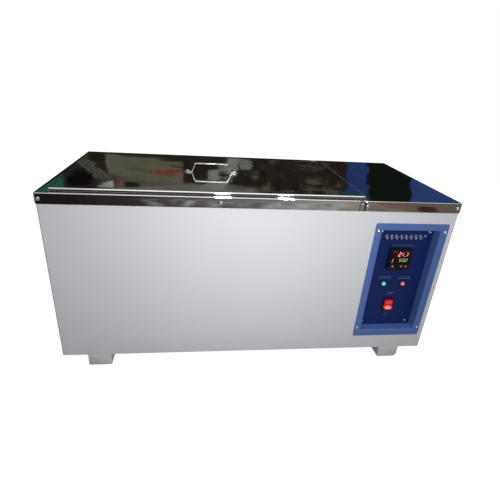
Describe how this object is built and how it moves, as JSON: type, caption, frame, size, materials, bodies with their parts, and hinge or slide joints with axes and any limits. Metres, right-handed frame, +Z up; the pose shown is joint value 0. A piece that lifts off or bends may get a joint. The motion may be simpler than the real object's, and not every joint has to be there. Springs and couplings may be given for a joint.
{
  "type": "laboratory water bath",
  "caption": "Rectangular double-walled laboratory water bath: insulated stainless tank, lift-off mirror lid with handle, painted casing on feet, and a recessed blue control panel at the right.",
  "frame": {"origin": "on the floor at the centre of the whole bath's outline, its rear drain valve and front screw heads included", "axes": "+X to the right along the length, +Y to the back, +Z up"},
  "size_m": [0.8, 0.4306, 0.4063],
  "materials": {
    "mirror_steel": "mirror-polished stainless sheet",
    "satin_steel": "satin stainless",
    "chrome_trim": "bright chrome",
    "grey_paint": "light grey powder coat, fine texture",
    "foot_paint": "mid grey paint",
    "blue_paint": "satin mid blue powder coat",
    "navy_paint": "semi-gloss navy, screen printed",
    "galvanised": "galvanised sheet",
    "mineral_wool": "mineral wool batt",
    "brass": "bare brass",
    "black_plastic": "moulded black",
    "key_plastic": "moulded dark grey with printed symbols",
    "white_plastic": "off-white moulding",
    "display_window": "dark tinted window with lit digits",
    "green_lens": "lit green lens",
    "red_lens": "lit red lens",
    "rocker_red": "lit translucent red",
    "lever_sleeve": "blue dipped vinyl over steel"
  },
  "bodies": {
    "root": {"tank_surround": "mirror_steel", "compartment_cover": "mirror_steel", "tank": "satin_steel", "heater_element": "satin_steel", "diffuser_tray": "satin_steel", "tray_stand": "satin_steel", "temperature_probe": "satin_steel", "drain_pipe": "satin_steel", "valve_body": "chrome_trim", "band_screw_left": "chrome_trim", "band_screw_middle": "chrome_trim", "band_screw_joint": "chrome_trim", "band_screw_right": "chrome_trim", "panel_screw_upper_left": "chrome_trim", "panel_screw_upper_right": "chrome_trim", "panel_screw_lower_left": "chrome_trim", "panel_screw_lower_right": "chrome_trim", "plate_screw_upper_left": "chrome_trim", "plate_screw_upper_right": "chrome_trim", "plate_screw_lower_left": "chrome_trim", "plate_screw_lower_right": "chrome_trim", "casing_wrap": "grey_paint", "rear_cover": "grey_paint", "foot_front_left": "foot_paint", "foot_front_right": "foot_paint", "foot_rear_left": "foot_paint", "foot_rear_right": "foot_paint", "control_frame": "blue_paint", "control_plate": "navy_paint", "floor_pan": "galvanised", "tank_bearer_left": "galvanised", "tank_bearer_right": "galvanised", "bulkhead": "galvanised", "controller_bracket": "galvanised", "heat_sink": "galvanised", "insulation_jacket": "mineral_wool", "heater_flange": "brass", "controller_front": "black_plastic", "controller_case": "black_plastic", "green_lamp_body": "black_plastic", "red_lamp_body": "black_plastic", "rocker_frame": "black_plastic", "cable_gland": "black_plastic", "controller_board": "white_plastic", "solid_state_relay": "white_plastic", "terminal_block": "white_plastic", "controller_window": "display_window", "green_lamp_lens": "green_lens", "red_lamp_lens": "red_lens"},
    "lid": {"lid": "mirror_steel", "lid_handle": "chrome_trim", "handle_screw_left": "chrome_trim", "handle_screw_right": "chrome_trim"},
    "power_rocker": {"power_rocker": "rocker_red"},
    "key_set": {"key_set": "key_plastic"},
    "key_down": {"key_down": "key_plastic"},
    "key_up": {"key_up": "key_plastic"},
    "drain_lever": {"valve_ball": "satin_steel", "valve_lever": "lever_sleeve", "lever_nut": "galvanised"}
  },
  "joints": [
    {"name": "lid_lift", "type": "slide", "parent": "root", "child": "lid", "axis": [0, 0, 1], "range_m": [0, 0.15]},
    {"name": "power_rocker_tilt", "type": "hinge", "parent": "root", "child": "power_rocker", "pos_m": [0.30725, -0.1918, 0.1334], "axis": [1, 0, 0], "range_deg": [0, 24]},
    {"name": "key_set_press", "type": "slide", "parent": "root", "child": "key_set", "axis": [0, 1, 0], "range_m": [0, 0.0006], "stiffness_N_per_m": 400},
    {"name": "key_down_press", "type": "slide", "parent": "root", "child": "key_down", "axis": [0, 1, 0], "range_m": [0, 0.0006], "stiffness_N_per_m": 400},
    {"name": "key_up_press", "type": "slide", "parent": "root", "child": "key_up", "axis": [0, 1, 0], "range_m": [0, 0.0006], "stiffness_N_per_m": 400},
    {"name": "drain_lever_turn", "type": "hinge", "parent": "root", "child": "drain_lever", "pos_m": [-0.251, 0.18166, 0.1], "axis": [0, 0, 1], "range_deg": [0, 90]}
  ]
}
